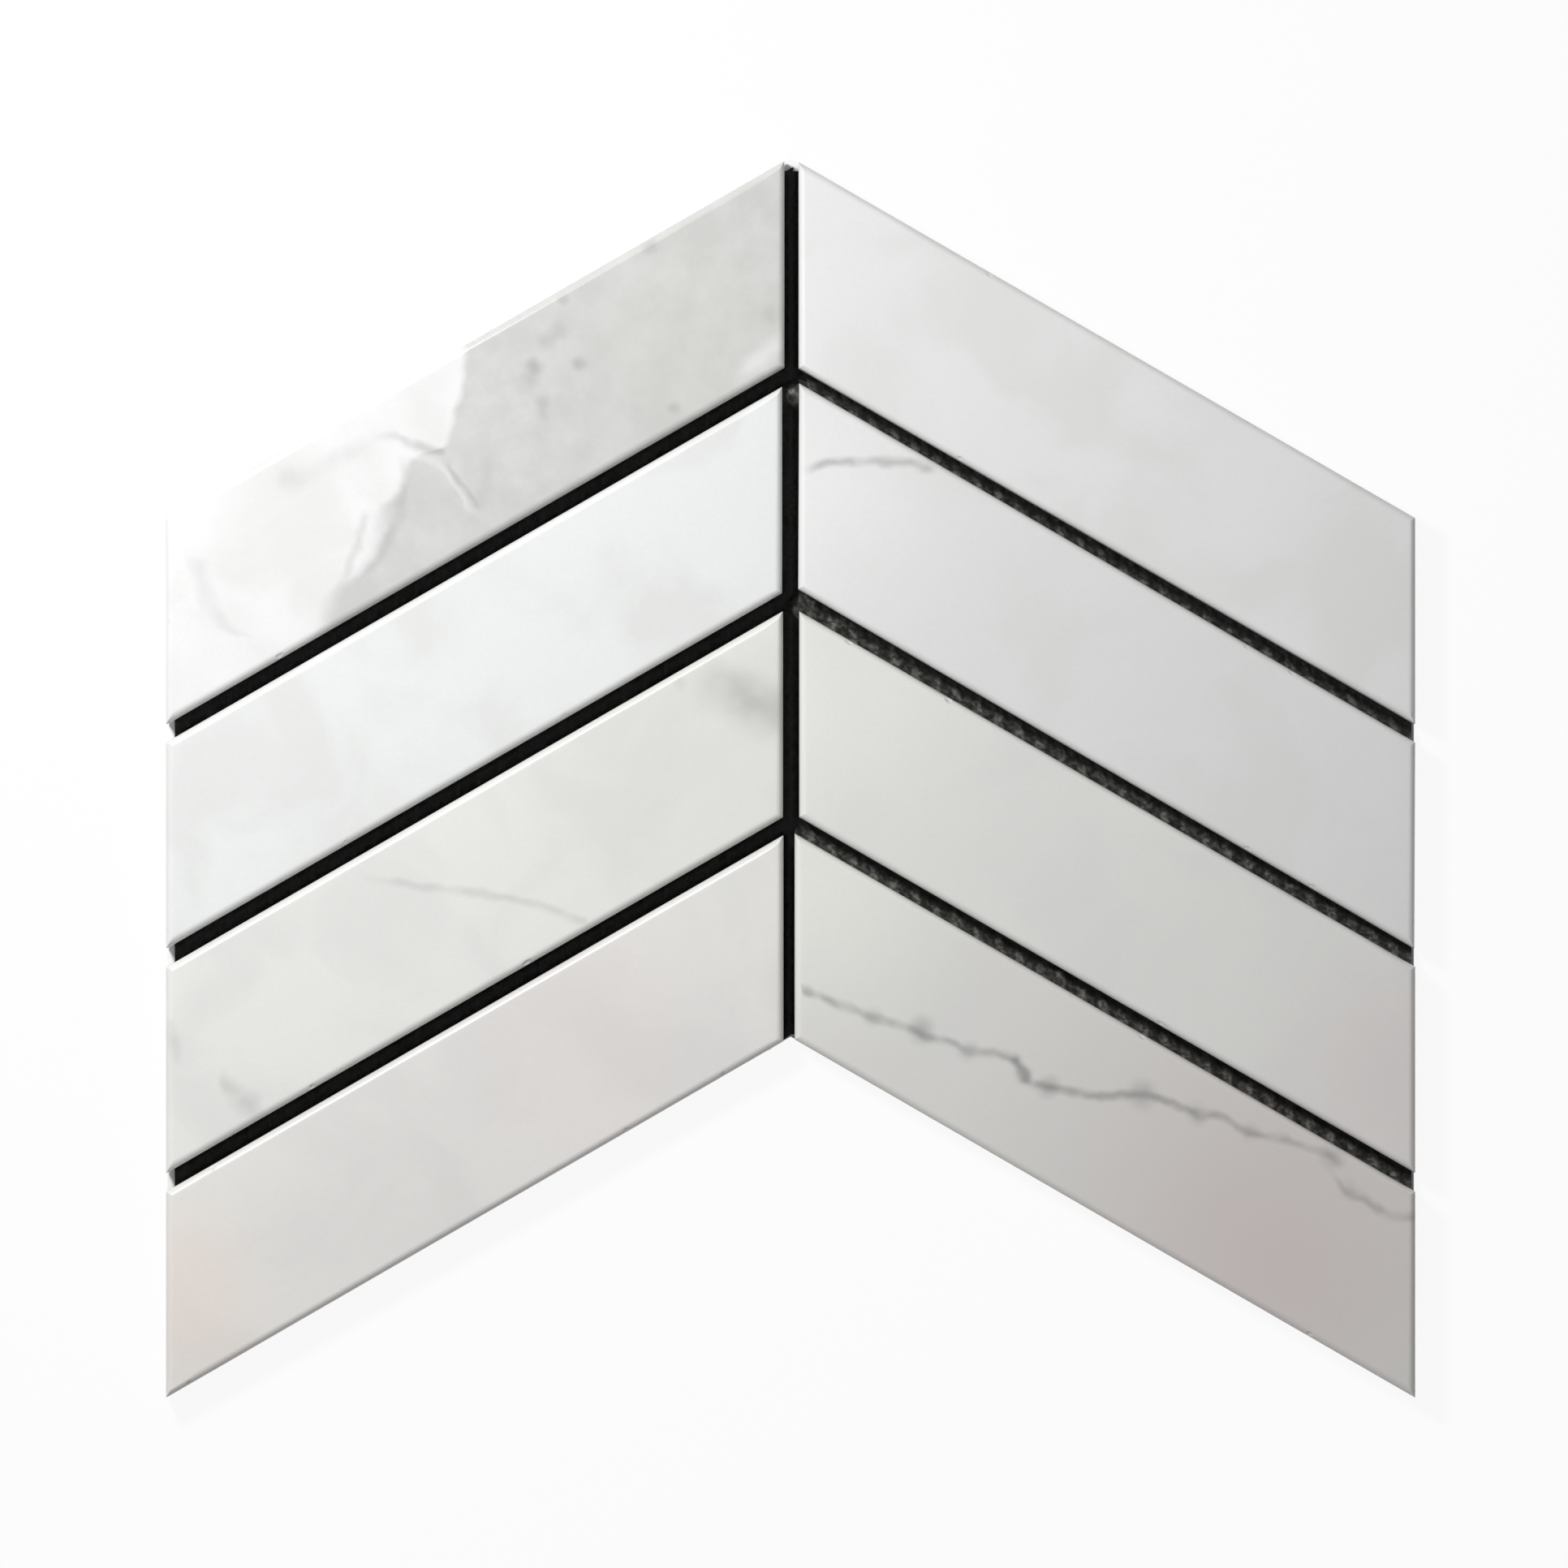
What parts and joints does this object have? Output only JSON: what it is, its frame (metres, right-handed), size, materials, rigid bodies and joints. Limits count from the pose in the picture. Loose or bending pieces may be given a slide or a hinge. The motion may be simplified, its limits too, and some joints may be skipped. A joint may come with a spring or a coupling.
{
  "type": "marble mosaic tile",
  "caption": "Chevron mosaic sheet of white marble parallelogram chips on a dark mesh backing, with open joints and bevelled arrises.",
  "frame": {"origin": "centre of the sheet's bounding box on its back, the face that is bedded", "axes": "+Z out of the polished face, +Y towards the point of the chevron, +X to the right seen from the front"},
  "size_m": [0.3, 0.297, 0.011],
  "materials": {
    "marble": "polished",
    "net": "coated glass fibre",
    "adhesive": "cured adhesive"
  },
  "bodies": {
    "root": {"marble_chip_left_1": "marble", "marble_chip_left_2": "marble", "marble_chip_left_3": "marble", "marble_chip_left_4": "marble", "marble_chip_right_1": "marble", "marble_chip_right_2": "marble", "marble_chip_right_3": "marble", "marble_chip_right_4": "marble", "net_weft_strands": "net", "net_warp_strands": "net", "adhesive_coat": "adhesive"}
  },
  "joints": []
}
